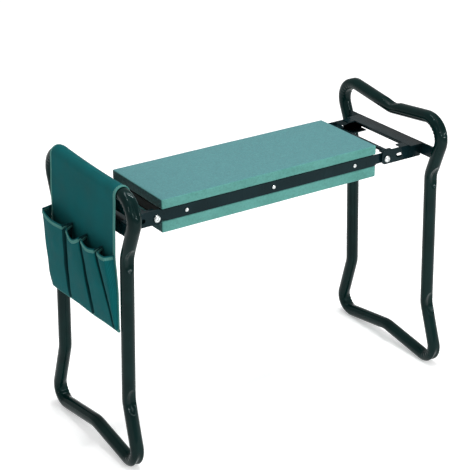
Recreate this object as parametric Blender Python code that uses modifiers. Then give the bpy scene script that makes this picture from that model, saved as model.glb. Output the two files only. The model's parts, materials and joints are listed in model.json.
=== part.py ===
"""Folding garden kneeler seat with a tool pouch, in metres, +Z up.

Two bent tube end frames hang on pivot bolts at the ends of a padded seat and fold under it. X runs along
the seat, Y from front to back, and the floor is z = 0. Each end frame is built about its own pivot axis.
"""

import math

import bmesh
import bpy
from mathutils import Vector

MM = 0.001
GAP = 0.3 * MM

# Seat
SEAT_LENGTH = 420 * MM
SEAT_WIDTH = 155 * MM
SEAT_TOP_Z = 433.5 * MM
TOP_PAD = 16.5 * MM
RAIL_HEIGHT = 20 * MM
LOWER_PAD = 19.5 * MM
PAD_ROUNDING = 2 * MM
PAD_OFFSET_X = -4 * MM
BOARD_INSET = 2 * MM
BOARD_STEP = 1 * MM
BOARD_HOLE_LENGTH = 22 * MM

# Steel sheet of the rails and brackets
RAIL_SHEET = 2.0 * MM
RAIL_FLANGE = 12 * MM
SEAM = 0.15 * MM
FLANGE_OVERLAP = 0.2 * MM
BRACKET_SHEET = 2.2 * MM

# Pivots and end frames
PIVOT_X = 226 * MM
PIVOT_Z = 407 * MM
LEFT_REACH = 68 * MM
RIGHT_REACH = 76 * MM
SPLAY = math.radians(1.43)
TUBE_RADIUS = 11 * MM
TUBE_SIDE_STEPS = 3

# Centreline of one end frame, front half mirrored: half width, height and bend radius of each corner
HANDLE_DIP = (0.0, 461 * MM, 45 * MM)
HANDLE_CORNER = (149 * MM, 482 * MM, 35 * MM)
UPPER_KINK = (108 * MM, 370 * MM, 45 * MM)
LOWER_KINK = (108 * MM, 123 * MM, 45 * MM)
FOOT_CORNER = (143 * MM, 10 * MM, 26 * MM)
FOOT_RISE = (0.0, 31 * MM, 60 * MM)
BEND_STEP = math.radians(15)

# Seat tongues, which reach past the pivots into the brackets
TONGUE_REACH = 28.5 * MM
TONGUE_TAB_REACH = 20 * MM
TONGUE_TAB_START = -3 * MM
TONGUE_TIP_DROP = 4 * MM
TONGUE_STEP_START = 6 * MM
TONGUE_STEP_END = 2 * MM
TONGUE_CORNER = (3 * MM, 2 * MM)
FLANGE_END_INSET = 8 * MM
END_BAR_X = 12 * MM
END_BAR = (8 * MM, 4 * MM)

# Brackets: arms from the pivots out to a cross member that joins the two tubes
ARM_INBOARD = 10 * MM
ARM_TOP_LIP = 5 * MM
ARM_FLANGE = 14 * MM
ARM_TOP_FLANGE_START = 31 * MM
ARM_STOP_START = 12 * MM
ARM_CORNER = 6 * MM
ARM_CORNER_CUT = 1.8 * MM
SLOT_OFFSET = (26.5 * MM, 1 * MM)
SLOT_SIZE = (13 * MM, 8 * MM)
CROSS_DEPTH = 29 * MM
CROSS_HEIGHT = 21 * MM
CROSS_BACK_FROM_TUBE_PLANE = 0.5 * MM
CROSS_END_GAP = 1.2 * MM
CROSS_FLANGE_HALF = 88 * MM

# Fasteners
BOLT_RADIUS = 3 * MM
BOLT_HEAD_RADIUS = 6 * MM
BOLT_HEAD_HEIGHT = 3.6 * MM
BOLT_DIMPLE = (2.2 * MM, 0.9 * MM)
BOLT_LENGTH = 14 * MM
BOLT_HOLE_RADIUS = 3.3 * MM
BOLT_STEPS = 20
RIVET_STEPS = 12
WASHER_RADIUS = 7 * MM
WASHER_THICKNESS = 2.0 * MM
NUT_RADIUS = 5.6 * MM
NUT_THICKNESS = 4.5 * MM
RIM_SHARE = 0.2
RIVET_RADIUS = 2 * MM
RIVET_HEAD_RADIUS = 4 * MM
RIVET_HEAD_HEIGHT = 1.8 * MM
RIVET_LENGTH = 10 * MM
RIVET_HOLE_RADIUS = 2.3 * MM
RIVET_SPACING = 165 * MM

# Tool pouch, hung over the left handle
CLOTH = 2.4 * MM
POUCH_CLEARANCE = 0.8 * MM
POUCH_FRONT_Y = -98 * MM
POUCH_BACK_Y = 114 * MM
POUCH_TOP_Z = 491 * MM
POUCH_BOTTOM_Z = 236 * MM
POUCH_FLAP_Z = 425 * MM
POUCH_CHAMFER = 5 * MM
POCKET_FRONT_Z = 371 * MM
POCKET_BACK_Z = 382 * MM
POCKET_DEPTH = 19 * MM
POCKET_FLOOR = 3 * MM
POCKET_SHARES = (0.0, 0.23, 0.44, 0.65, 1.0)

# Surface finishes: colour, roughness, metallic
FINISHES = {
    "tube_enamel": ((0.012, 0.028, 0.022), 0.25, 0.1),
    "bracket_enamel": ((0.02, 0.03, 0.033), 0.4, 0.1),
    "pad_foam": ((0.10, 0.27, 0.25), 0.8, 0.0),
    "core_board": ((0.012, 0.014, 0.012), 0.8, 0.0),
    "zinc": ((0.75, 0.77, 0.78), 0.3, 1.0),
    "pouch_cloth": ((0.015, 0.09, 0.095), 0.85, 0.0),
}

SEAT_HALF_LENGTH = SEAT_LENGTH / 2
SEAT_HALF_WIDTH = SEAT_WIDTH / 2
RAIL_TOP_Z = SEAT_TOP_Z - TOP_PAD - GAP
RAIL_BOTTOM_Z = RAIL_TOP_Z - RAIL_HEIGHT + 2 * GAP
ARM_INNER_Y = SEAT_HALF_WIDTH + WASHER_THICKNESS + 2 * GAP
ARM_OUTER_Y = ARM_INNER_Y + BRACKET_SHEET
ARM_BOTTOM_Z = RAIL_BOTTOM_Z
TONGUE_BOTTOM_Z = ARM_BOTTOM_Z + BRACKET_SHEET + GAP
ARM_TOP_Z = RAIL_TOP_Z + ARM_TOP_LIP


def clear_scene():
    """Remove whatever the open file holds."""
    for item in list(bpy.data.objects):
        bpy.data.objects.remove(item, do_unlink=True)


def new_collection(name):
    """Make a collection in the scene."""
    collection = bpy.data.collections.new(name)
    bpy.context.scene.collection.children.link(collection)
    return collection


def finish_material(name):
    """Make one Principled material from the finish table."""
    colour, roughness, metallic = FINISHES[name]
    material = bpy.data.materials.new(name)
    material.use_nodes = True
    shader = material.node_tree.nodes["Principled BSDF"]
    shader.inputs["Base Color"].default_value = (*colour, 1.0)
    shader.inputs["Roughness"].default_value = roughness
    shader.inputs["Metallic"].default_value = metallic
    return material


class Builder:
    """Makes named solids in the model's collection and cutters in another."""

    def __init__(self):
        self.parts = new_collection("garden_kneeler_seat")
        self.cutters = new_collection("cutters")
        self.root = self.empty("kneeler_origin", (0, 0, 0), None)

    def empty(self, name, location, parent):
        """Add an empty that parts hang from."""
        item = bpy.data.objects.new(name, None)
        item.location = location
        item.parent = parent
        self.parts.objects.link(item)
        return item

    def part(self, name, mesh, finish, location=(0, 0, 0), rotation=(0, 0, 0), parent=None):
        """Add one solid of the model with its own material."""
        item = bpy.data.objects.new(name, mesh)
        item.location = location
        item.rotation_euler = rotation
        item.parent = parent or self.root
        material = finish_material(finish)
        mesh.materials.clear()
        mesh.materials.append(material)
        self.parts.objects.link(item)
        return item

    def combine(self, target, mesh, operation, location=(0, 0, 0), rotation=(0, 0, 0), solver="EXACT"):
        """Join a mesh to a part, or cut it away, with a guide in the part's own frame."""
        guide = bpy.data.objects.new(target.name + "_" + operation.lower(), mesh)
        guide.parent = target
        guide.location = location
        guide.rotation_euler = rotation
        guide.hide_render = True
        guide.display_type = "WIRE"
        self.cutters.objects.link(guide)
        modifier = target.modifiers.new(operation.title(), "BOOLEAN")
        modifier.operation = operation
        modifier.solver = solver
        modifier.object = guide


def smooth(mesh, angle=math.radians(35)):
    """Shade a round mesh smooth and keep its hard edges."""
    mesh.shade_smooth()
    mesh.set_sharp_from_angle(angle=angle)
    return mesh


def box_mesh(low, high):
    """Make a box between two corners."""
    low, high = Vector(low), Vector(high)
    work = bmesh.new()
    bmesh.ops.create_cube(work, size=1.0)
    bmesh.ops.scale(work, vec=high - low, verts=work.verts)
    bmesh.ops.translate(work, vec=(low + high) / 2, verts=work.verts)
    mesh = bpy.data.meshes.new("box")
    work.to_mesh(mesh)
    work.free()
    return mesh


def cylinder_mesh(radius, length, sides):
    """Make a closed cylinder along Z, centred on the origin."""
    work = bmesh.new()
    bmesh.ops.create_cone(work, cap_ends=True, segments=sides, radius1=radius, radius2=radius, depth=length)
    mesh = bpy.data.meshes.new("cylinder")
    work.to_mesh(mesh)
    work.free()
    return smooth(mesh)


def curve_mesh(curve):
    """Turn a curve into a welded mesh."""
    holder = bpy.data.objects.new("curve_guide", curve)
    bpy.context.scene.collection.objects.link(holder)
    bpy.context.view_layer.update()
    evaluated = holder.evaluated_get(bpy.context.evaluated_depsgraph_get())
    mesh = bpy.data.meshes.new_from_object(evaluated)
    bpy.data.objects.remove(holder, do_unlink=True)
    work = bmesh.new()
    work.from_mesh(mesh)
    bmesh.ops.remove_doubles(work, verts=work.verts, dist=0.00001)
    bmesh.ops.recalc_face_normals(work, faces=work.faces)
    work.to_mesh(mesh)
    work.free()
    return mesh


def plate_mesh(outlines, thickness):
    """Make a flat plate in XY from closed outlines, the later ones holes, centred on z = 0."""
    curve = bpy.data.curves.new("plate", "CURVE")
    curve.dimensions = "2D"
    curve.fill_mode = "BOTH"
    curve.extrude = thickness / 2
    for outline in outlines:
        spline = curve.splines.new("POLY")
        spline.points.add(len(outline) - 1)
        for point, (x, y) in zip(spline.points, outline):
            point.co = (x, y, 0, 1)
        spline.use_cyclic_u = True
    return curve_mesh(curve)


def circle_outline(centre, radius, sides=20):
    """List the points of a circle."""
    angles = [2 * math.pi * step / sides for step in range(sides)]
    return [(centre[0] + radius * math.cos(a), centre[1] + radius * math.sin(a)) for a in angles]


def slot_outline(centre, size, steps=6):
    """List the points of a slot with round ends, along x."""
    radius = size[1] / 2
    reach = size[0] / 2 - radius
    points = []
    for side in (1, -1):
        for step in range(steps + 1):
            angle = math.pi * step / steps - math.pi / 2
            x = centre[0] + side * (reach + radius * math.cos(angle))
            y = centre[1] + side * radius * math.sin(angle)
            points.append((x, y))
    return points


def bend_points(before, corner, after, radius):
    """List the points of the arc that rounds one corner of a path."""
    corner = Vector(corner)
    to_before = (Vector(before) - corner).normalized()
    to_after = (Vector(after) - corner).normalized()
    half = to_before.angle(to_after) / 2
    centre = corner + (to_before + to_after).normalized() * (radius / math.sin(half))
    start = corner + to_before * (radius / math.tan(half)) - centre
    end = corner + to_after * (radius / math.tan(half)) - centre
    turn = math.pi - 2 * half
    steps = max(2, math.ceil(turn / BEND_STEP))
    points = []
    for step in range(steps + 1):
        share = step / steps
        blend = start * math.sin((1 - share) * turn) + end * math.sin(share * turn)
        points.append(centre + blend / math.sin(turn))
    return points


def rounded_path(corners):
    """List the points of a closed path through corners of (y, z, bend radius)."""
    points = []
    count = len(corners)
    for index, (y, z, radius) in enumerate(corners):
        before = corners[index - 1]
        after = corners[(index + 1) % count]
        points += bend_points((before[0], before[1]), (y, z), (after[0], after[1]), radius)
    return points


def loop_corners():
    """List the corners of one whole end frame, measured from its pivot height."""
    half = [HANDLE_CORNER, UPPER_KINK, LOWER_KINK, FOOT_CORNER]
    back = [(-y, z, radius) for y, z, radius in reversed(half)]
    corners = [HANDLE_DIP, *half, FOOT_RISE, *back]
    return [(y, z - PIVOT_Z, radius) for y, z, radius in corners]


def tube_half_width(z):
    """Give the centreline's distance from the middle plane where the sides slant to the handle."""
    share = (z - UPPER_KINK[1]) / (HANDLE_CORNER[1] - UPPER_KINK[1])
    return UPPER_KINK[0] + share * (HANDLE_CORNER[0] - UPPER_KINK[0])


def loop_mesh(plane_x):
    """Sweep the tube round one end frame in the plane x = plane_x."""
    curve = bpy.data.curves.new("loop", "CURVE")
    curve.dimensions = "3D"
    curve.bevel_depth = TUBE_RADIUS
    curve.bevel_resolution = TUBE_SIDE_STEPS
    points = rounded_path(loop_corners())
    spline = curve.splines.new("POLY")
    spline.points.add(len(points) - 1)
    for target, point in zip(spline.points, points):
        target.co = (plane_x, point[0], point[1], 1)
    spline.use_cyclic_u = True
    return smooth(curve_mesh(curve))


def turned_part(builder, name, profile, finish, location, facing, steps, parent=None):
    """Turn a profile of (radius, height) about Y, its head facing front (-1) or back (+1)."""
    mesh = bpy.data.meshes.new(name)
    points = [(radius, 0, height) for radius, height in profile]
    edges = [(index, index + 1) for index in range(len(points) - 1)]
    mesh.from_pydata(points, edges, [])
    item = builder.part(name, mesh, finish, location, (-facing * math.pi / 2, 0, 0), parent)
    screw = item.modifiers.new("Turn", "SCREW")
    screw.axis = "Z"
    screw.steps = steps
    screw.render_steps = steps
    screw.use_merge_vertices = True
    screw.merge_threshold = 0.00001
    screw.use_smooth_shade = True
    return item


def dome_profile(radius, height, dimple=None, steps=4):
    """List a domed head's points from its top centre down to its rim."""
    flat = dimple[0] if dimple else 0
    rim = height * RIM_SHARE
    points = [(0, height)]
    if dimple:
        points = [(0, height - dimple[1]), (flat, height)]
    for step in range(1, steps + 1):
        angle = math.pi / 2 * step / steps
        reach = flat + (radius - flat) * math.sin(angle)
        points.append((reach, rim + (height - rim) * math.cos(angle)))
    points.append((radius, 0))
    return points


def build_pads(builder):
    """Add the two foam pads and the board between them."""
    spans = {
        "top_pad": (SEAT_TOP_Z - TOP_PAD, SEAT_TOP_Z),
        "lower_pad": (RAIL_BOTTOM_Z - GAP - LOWER_PAD, RAIL_BOTTOM_Z - GAP),
    }
    for name, (low, high) in spans.items():
        near = (-SEAT_HALF_LENGTH, -SEAT_HALF_WIDTH, low)
        mesh = box_mesh(near, (SEAT_HALF_LENGTH, SEAT_HALF_WIDTH, high))
        pad = builder.part(name, mesh, "pad_foam", (PAD_OFFSET_X, 0, 0))
        bevel = pad.modifiers.new("Rounding", "BEVEL")
        bevel.width = PAD_ROUNDING
        bevel.segments = 2


def build_board(builder):
    """Add the core board, whose long edges slide between the rails' flanges."""
    low, high = RAIL_BOTTOM_Z, RAIL_TOP_Z
    length = SEAT_HALF_LENGTH - BOARD_INSET
    centre = SEAT_HALF_WIDTH - RAIL_SHEET - RAIL_FLANGE - GAP
    edge = SEAT_HALF_WIDTH - RAIL_SHEET - GAP
    lip = RAIL_SHEET + GAP
    mesh = box_mesh((-length, -edge, low + lip), (length, edge, high - lip))
    board = builder.part("seat_board", mesh, "core_board", (PAD_OFFSET_X, 0, 0))
    raised_length = length - BOARD_STEP
    raised = box_mesh((-raised_length, -centre, low), (raised_length, centre, high))
    builder.combine(board, raised, "UNION")
    for facing in (-1, 1):
        for index in (-1, 0, 1):
            hole = cylinder_mesh(RIVET_HOLE_RADIUS, BOARD_HOLE_LENGTH, RIVET_STEPS)
            where = (rivet_x(index) - PAD_OFFSET_X, facing * SEAT_HALF_WIDTH, (low + high) / 2)
            builder.combine(board, hole, "DIFFERENCE", where, (math.pi / 2, 0, 0))


def rivet_x(index):
    """Give the place of a rail rivet along the seat, -1, 0 or 1."""
    return PAD_OFFSET_X + index * RIVET_SPACING


def tongue_outline():
    """List the rail web's outline in x and z, narrower past the pads, with a slanted tip past each pivot."""
    low, high = TONGUE_BOTTOM_Z, RAIL_TOP_Z
    half = [
        (SEAT_HALF_LENGTH - TONGUE_STEP_START, RAIL_BOTTOM_Z),
        (SEAT_HALF_LENGTH - TONGUE_STEP_END, low),
        (PIVOT_X + TONGUE_REACH - TONGUE_CORNER[0], low),
        (PIVOT_X + TONGUE_REACH, low + TONGUE_CORNER[1]),
        (PIVOT_X + TONGUE_REACH, PIVOT_Z - TONGUE_TIP_DROP),
        (PIVOT_X + TONGUE_TAB_REACH, high - 1.5 * RAIL_SHEET),
        (PIVOT_X + TONGUE_TAB_REACH, high),
    ]
    return half + [(-x, z) for x, z in reversed(half)]


def build_rails(builder):
    """Add the two seat rails: a web with flanges under the pads, and a tab at each end."""
    middle_z = (RAIL_BOTTOM_Z + RAIL_TOP_Z) / 2
    for name, facing in (("front_rail", -1), ("back_rail", 1)):
        holes = [circle_outline((side * PIVOT_X, PIVOT_Z), BOLT_HOLE_RADIUS) for side in (-1, 1)]
        holes += [circle_outline((rivet_x(i), middle_z), RIVET_HOLE_RADIUS, RIVET_STEPS) for i in (-1, 0, 1)]
        mesh = plate_mesh([tongue_outline(), *holes], RAIL_SHEET)
        web_y = facing * (SEAT_HALF_WIDTH - RAIL_SHEET / 2)
        rail = builder.part(name, mesh, "bracket_enamel", (0, web_y, 0), (math.pi / 2, 0, 0))
        inward = facing * (RAIL_FLANGE + RAIL_SHEET / 2)
        under_pads = (FLANGE_END_INSET - SEAT_HALF_LENGTH, SEAT_HALF_LENGTH - FLANGE_END_INSET)
        upper = (RAIL_TOP_Z - RAIL_SHEET, RAIL_TOP_Z - SEAM)
        spans = [(*under_pads, RAIL_BOTTOM_Z + SEAM, RAIL_BOTTOM_Z + RAIL_SHEET), (*under_pads, *upper)]
        for side in (-1, 1):
            tab = sorted((side * (PIVOT_X + TONGUE_TAB_START), side * (PIVOT_X + TONGUE_TAB_REACH - SEAM)))
            spans.append((*tab, *upper))
        for start, end, low, high in spans:
            near, far = sorted((-facing * FLANGE_OVERLAP, inward))
            builder.combine(rail, box_mesh((start, low, near), (end, high, far)), "UNION", solver="MANIFOLD")


def build_end_bars(builder):
    """Add the flat bar that ties the two tongues together at each end, under their tabs."""
    top = RAIL_TOP_Z - RAIL_SHEET - GAP
    reach = SEAT_HALF_WIDTH - RAIL_SHEET - GAP
    for name, side in (("end_bar_left", -1), ("end_bar_right", 1)):
        middle = side * (PIVOT_X + END_BAR_X)
        low = (middle - END_BAR[0] / 2, -reach, top - END_BAR[1])
        high = (middle + END_BAR[0] / 2, reach, top)
        builder.part(name, box_mesh(low, high), "bracket_enamel")


def build_fasteners(builder):
    """Add the pivot bolts with their washers and nuts, and the rail rivets."""
    ring = [(WASHER_RADIUS, WASHER_THICKNESS / 2), (WASHER_RADIUS, -WASHER_THICKNESS / 2)]
    inner = [(BOLT_HOLE_RADIUS, -WASHER_THICKNESS / 2), (BOLT_HOLE_RADIUS, WASHER_THICKNESS / 2)]
    washer = [*ring, *inner, ring[0]]
    shank = [(BOLT_RADIUS, 0), (BOLT_RADIUS, -BOLT_LENGTH), (0, -BOLT_LENGTH)]
    bolt = dome_profile(BOLT_HEAD_RADIUS, BOLT_HEAD_HEIGHT, BOLT_DIMPLE) + shank
    for side, end in ((-1, "left"), (1, "right")):
        for facing, face in ((-1, "front"), (1, "back")):
            label = end + "_" + face
            head = (side * PIVOT_X, facing * (ARM_OUTER_Y + GAP), PIVOT_Z)
            turned_part(builder, "pivot_bolt_" + label, bolt, "zinc", head, facing, BOLT_STEPS)
            spacer = (side * PIVOT_X, facing * (SEAT_HALF_WIDTH + GAP + WASHER_THICKNESS / 2), PIVOT_Z)
            turned_part(builder, "washer_" + label, washer, "zinc", spacer, facing, BOLT_STEPS)
            nut_y = facing * (SEAT_HALF_WIDTH - RAIL_SHEET - GAP - NUT_THICKNESS / 2)
            outlines = [circle_outline((0, 0), NUT_RADIUS, 6), circle_outline((0, 0), BOLT_HOLE_RADIUS, 16)]
            nut = plate_mesh(outlines, NUT_THICKNESS)
            builder.part("nut_" + label, nut, "zinc", (side * PIVOT_X, nut_y, PIVOT_Z), (math.pi / 2, 0, 0))
    rivet = dome_profile(RIVET_HEAD_RADIUS, RIVET_HEAD_HEIGHT)
    rivet += [(RIVET_RADIUS, 0), (RIVET_RADIUS, -RIVET_LENGTH), (0, -RIVET_LENGTH)]
    middle_z = (RAIL_BOTTOM_Z + RAIL_TOP_Z) / 2
    for facing, face in ((-1, "front"), (1, "back")):
        for index, label in ((-1, "left"), (0, "middle"), (1, "right")):
            where = (rivet_x(index), facing * (SEAT_HALF_WIDTH + GAP), middle_z)
            name = "rail_rivet_" + face + "_" + label
            turned_part(builder, name, rivet, "zinc", where, facing, RIVET_STEPS)


def arm_outline(side, cross_inner, cross_web):
    """List one arm's web outline in x and z from the pivot, stepped down under the cross member."""
    low = ARM_BOTTOM_Z - PIVOT_Z
    high = ARM_TOP_Z - PIVOT_Z
    step = high - BRACKET_SHEET - GAP
    near = -ARM_INBOARD
    notch = cross_inner - GAP
    outboard = cross_web - GAP
    cut = ARM_CORNER_CUT
    upper = [(near, high - ARM_CORNER), (near + cut, high - cut), (near + ARM_CORNER, high)]
    outer = [(notch, high), (notch, step), (outboard, step), (outboard, low)]
    lower = [(near + ARM_CORNER, low), (near + cut, low + cut), (near, low + ARM_CORNER)]
    return [(side * x, z) for x, z in upper + outer + lower]


def build_arms(builder, side, end, reach, parent):
    """Add the two arms of one end frame: webs with a lip, a top flange and a stop flange."""
    cross_web = reach - CROSS_BACK_FROM_TUBE_PLANE - BRACKET_SHEET
    cross_inner = cross_web + BRACKET_SHEET - CROSS_DEPTH
    low, high = ARM_BOTTOM_Z - PIVOT_Z, ARM_TOP_Z - PIVOT_Z
    for facing, face in ((-1, "front"), (1, "back")):
        outlines = [arm_outline(side, cross_inner, cross_web)]
        outlines.append(circle_outline((0, 0), BOLT_HOLE_RADIUS))
        outlines.append(slot_outline((side * SLOT_OFFSET[0], SLOT_OFFSET[1]), SLOT_SIZE))
        web_y = facing * (ARM_INNER_Y + BRACKET_SHEET / 2)
        mesh = plate_mesh(outlines, BRACKET_SHEET)
        name = "arm_" + end + "_" + face
        arm = builder.part(name, mesh, "bracket_enamel", (0, web_y, 0), (math.pi / 2, 0, 0), parent)
        near = -facing * FLANGE_OVERLAP
        wide = facing * (ARM_FLANGE + BRACKET_SHEET / 2)
        strips = [
            (ARM_TOP_FLANGE_START, cross_inner - 2 * GAP, high - BRACKET_SHEET, high - SEAM, wide),
            (ARM_STOP_START, cross_web - 2 * GAP, low + SEAM, low + BRACKET_SHEET, wide),
        ]
        for start, end_x, bottom, top, inward in strips:
            xs = sorted((side * start, side * end_x))
            zs = sorted((near, inward))
            builder.combine(arm, box_mesh((xs[0], bottom, zs[0]), (xs[1], top, zs[1])), "UNION")


def build_cross_member(builder, side, end, reach, parent):
    """Add the angle that joins both arms and both tubes, its ends cut to the slant of the tubes."""
    outer = reach - CROSS_BACK_FROM_TUBE_PLANE
    high = ARM_TOP_Z
    low = high - CROSS_HEIGHT
    beside = math.sqrt((TUBE_RADIUS + CROSS_END_GAP) ** 2 - CROSS_BACK_FROM_TUBE_PLANE ** 2)
    top_half = tube_half_width(high) - beside
    low_half = tube_half_width(low) - beside
    foot, top = low - PIVOT_Z, high - PIVOT_Z
    outline = [(-low_half, foot), (low_half, foot), (top_half, top), (-top_half, top)]
    mesh = plate_mesh([outline], BRACKET_SHEET)
    web_x = side * (outer - BRACKET_SHEET / 2)
    turn = (math.pi / 2, 0, math.pi / 2)
    cross = builder.part("cross_member_" + end, mesh, "bracket_enamel", (web_x, 0, 0), turn, parent)
    depth = sorted((side * FLANGE_OVERLAP, -side * (CROSS_DEPTH - BRACKET_SHEET / 2)))
    near = (-CROSS_FLANGE_HALF, top - BRACKET_SHEET, depth[0])
    far = (CROSS_FLANGE_HALF, top - SEAM, depth[1])
    flange = box_mesh(near, far)
    builder.combine(cross, flange, "UNION")


def build_end_frame(builder, side, end, reach):
    """Add one end frame about its pivot axis, and give back the empty that it turns on."""
    axis = builder.empty(end + "_fold_axis", (side * PIVOT_X, 0, PIVOT_Z), builder.root)
    mesh = loop_mesh(side * reach)
    drop = -reach * math.sin(SPLAY)
    builder.part("leg_loop_" + end, mesh, "tube_enamel", (0, 0, drop), (0, -side * SPLAY, 0), axis)
    build_arms(builder, side, end, reach, axis)
    build_cross_member(builder, side, end, reach, axis)
    return axis


def pouch_outline(inner):
    """List the section of the pouch's sheet round the handle, in x outward and z from the pivot."""
    outer = inner + CLOTH
    top = POUCH_TOP_Z - PIVOT_Z
    bottom = POUCH_BOTTOM_Z - PIVOT_Z
    flap = POUCH_FLAP_Z - PIVOT_Z
    shoulder = top - POUCH_CHAMFER
    inner_shoulder = shoulder - CLOTH / 2
    inner_top = inner - POUCH_CHAMFER + CLOTH / 2
    outside = [(outer, bottom), (outer, shoulder), (outer - POUCH_CHAMFER, top)]
    outside += [(-outer + POUCH_CHAMFER, top), (-outer, shoulder), (-outer, flap)]
    inside = [(-inner, flap), (-inner, inner_shoulder), (-inner_top, top - CLOTH)]
    inside += [(inner_top, top - CLOTH), (inner, inner_shoulder), (inner, bottom)]
    return outside + inside


def build_pouch(builder, reach, axis):
    """Hang the pouch on the left handle: a folded sheet, and a block of open pockets on it."""
    drop = -reach * math.sin(SPLAY)
    plane = builder.empty("pouch_plane", (0, 0, drop), axis)
    plane.rotation_euler = (0, SPLAY, 0)
    inner = TUBE_RADIUS + POUCH_CLEARANCE
    outline = [(-reach - x, z) for x, z in pouch_outline(inner)]
    width = POUCH_BACK_Y - POUCH_FRONT_Y
    sheet = plate_mesh([outline], width)
    middle = (0, (POUCH_BACK_Y + POUCH_FRONT_Y) / 2, 0)
    builder.part("pouch_panel", sheet, "pouch_cloth", middle, (math.pi / 2, 0, 0), plane)
    back = -reach - inner - CLOTH - GAP
    low = POUCH_BOTTOM_Z - PIVOT_Z
    tops = (POCKET_FRONT_Z - PIVOT_Z, POCKET_BACK_Z - PIVOT_Z)
    outline = [(POUCH_FRONT_Y, low), (POUCH_BACK_Y, low), (POUCH_BACK_Y, tops[1]), (POUCH_FRONT_Y, tops[0])]
    block = plate_mesh([outline], POCKET_DEPTH)
    place = (back - POCKET_DEPTH / 2, 0, 0)
    turn = (math.pi / 2, 0, math.pi / 2)
    pockets = builder.part("pouch_pockets", block, "pouch_cloth", place, turn, plane)
    walls = [POUCH_FRONT_Y + CLOTH / 2 + share * (width - CLOTH) for share in POCKET_SHARES]
    for start, end in zip(walls, walls[1:]):
        near = (start + CLOTH / 2, low + POCKET_FLOOR, CLOTH / 2 - POCKET_DEPTH / 2)
        far = (end - CLOTH / 2, tops[1] + CLOTH, POCKET_DEPTH / 2 - CLOTH)
        builder.combine(pockets, box_mesh(near, far), "DIFFERENCE")


def stand_on_floor(builder):
    """Centre the whole length on the origin and set the feet on the floor."""
    bpy.context.view_layer.update()
    graph = bpy.context.evaluated_depsgraph_get()
    corners = []
    for item in builder.parts.objects:
        if item.type == "MESH":
            evaluated = item.evaluated_get(graph)
            corners += [evaluated.matrix_world @ vertex.co for vertex in evaluated.data.vertices]
    xs = [corner.x for corner in corners]
    builder.root.location = (-(min(xs) + max(xs)) / 2, 0, -min(corner.z for corner in corners))
    bpy.context.view_layer.update()


def main():
    """Build the whole seat."""
    clear_scene()
    builder = Builder()
    build_pads(builder)
    build_board(builder)
    build_rails(builder)
    build_end_bars(builder)
    build_fasteners(builder)
    left_axis = build_end_frame(builder, -1, "left", LEFT_REACH)
    build_end_frame(builder, 1, "right", RIGHT_REACH)
    build_pouch(builder, LEFT_REACH, left_axis)
    stand_on_floor(builder)


main()
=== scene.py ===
"""Looks of the folding garden kneeler seat: press-bent tubes, brackets, foam pads and the sewn tool pouch."""

import json
import math

import bmesh
import bpy
from mathutils import Matrix, Vector, noise


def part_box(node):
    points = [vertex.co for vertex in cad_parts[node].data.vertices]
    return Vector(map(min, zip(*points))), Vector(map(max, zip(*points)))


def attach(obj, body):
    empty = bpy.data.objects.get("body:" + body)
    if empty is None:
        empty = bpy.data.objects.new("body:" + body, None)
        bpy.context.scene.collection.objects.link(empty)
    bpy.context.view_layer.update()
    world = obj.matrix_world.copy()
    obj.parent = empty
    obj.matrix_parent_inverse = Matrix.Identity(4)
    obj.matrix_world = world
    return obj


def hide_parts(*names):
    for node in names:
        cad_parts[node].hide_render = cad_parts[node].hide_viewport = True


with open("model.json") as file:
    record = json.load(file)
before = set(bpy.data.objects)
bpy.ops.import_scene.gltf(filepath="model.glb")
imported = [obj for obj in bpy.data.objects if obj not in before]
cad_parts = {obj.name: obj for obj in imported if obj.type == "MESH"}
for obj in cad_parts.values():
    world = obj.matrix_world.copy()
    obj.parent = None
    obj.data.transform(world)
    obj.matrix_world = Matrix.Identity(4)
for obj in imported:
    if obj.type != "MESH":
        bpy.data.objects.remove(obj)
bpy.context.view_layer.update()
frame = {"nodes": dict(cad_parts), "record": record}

MM = 0.001

MERGE_DISTANCE = 0.000001

# Camera, for a square picture: place, heading from +Y towards +X, tilt, roll, lens, sensor and reach
CAMERA_PLACE = (-1.2490, -1.8581, 1.2981)
CAMERA_HEADING = 0.583
CAMERA_TILT = -0.424
CAMERA_ROLL = -0.005
CAMERA_LENS = 111.6
CAMERA_SENSOR = 36
CAMERA_REACH = 60

# Weaves' pitches, the colour that both pads share, and how a wave texture's scale goes with its pitch
PAD_THREAD = 0.0013
POUCH_THREAD = 0.0011
BINDING_THREAD = 0.0009
STITCH_THREAD = 0.0006
FOAM_DEEP = (0.055, 0.215, 0.185)
WAVE_SCALE = 0.314

# Studio: half width of the floor, how much it and the surroundings glow, and what the lights face
FLOOR_HALF = 12.0
FLOOR_GLOW = 0.32
SURROUND_GLOW = 0.62
LIGHT_AIM = (0, 0, 0.3)
# Soft boxes and strips: place, size and power
LIGHTS = {
    "top_box": ((0.5, 0.3, 3.0), (1.1, 0.8), 30),
    "front_box": ((1.5, -3.0, 1.9), (0.5, 1.2), 15),
    "top_strip": ((0.1, -0.4, 2.4), (0.9, 0.03), 14),
    "front_strip": ((0.4, -2.6, 1.3), (0.03, 0.8), 13),
    "right_strip": ((1.7, -2.7, 1.15), (0.8, 0.03), 14),
    "left_strip": ((-2.6, -0.9, 1.5), (0.03, 0.8), 8),
}

# End frames' tube, and how finely it is swept round and along
TUBE_RADIUS = 11 * MM
TUBE_SIDES = 64
TUBE_STEP = 2 * MM
BEND_STEP = math.radians(2)

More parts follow.
